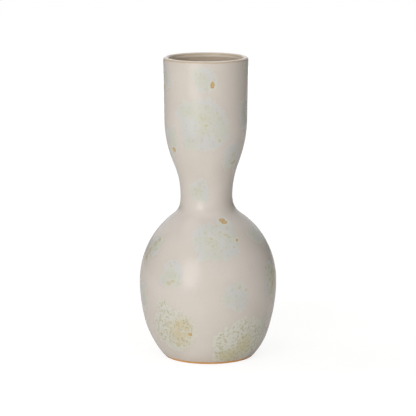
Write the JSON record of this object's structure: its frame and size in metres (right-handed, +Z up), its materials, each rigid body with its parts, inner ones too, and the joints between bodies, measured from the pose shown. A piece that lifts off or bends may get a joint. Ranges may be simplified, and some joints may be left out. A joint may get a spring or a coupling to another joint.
{
  "type": "bottle vase",
  "caption": "Glazed stoneware bottle vase with a round belly, a pinched waist and an upright cup-shaped mouth, standing on a bare clay foot ring.",
  "frame": {"origin": "centre of the foot, on the surface that the vase stands on", "axes": "+Z up along the axis that every piece is turned about; -Y towards the side that the picture shows"},
  "size_m": [0.1368, 0.1366, 0.3],
  "materials": {
    "clay": "matte",
    "slip": "matte",
    "outer_glaze": "satin",
    "liner_glaze": "satin"
  },
  "bodies": {
    "root": {"bulb": "clay", "neck": "clay", "joint_slip": "slip", "outer_glaze": "outer_glaze", "liner_glaze": "liner_glaze", "underside_glaze": "liner_glaze"}
  },
  "joints": []
}
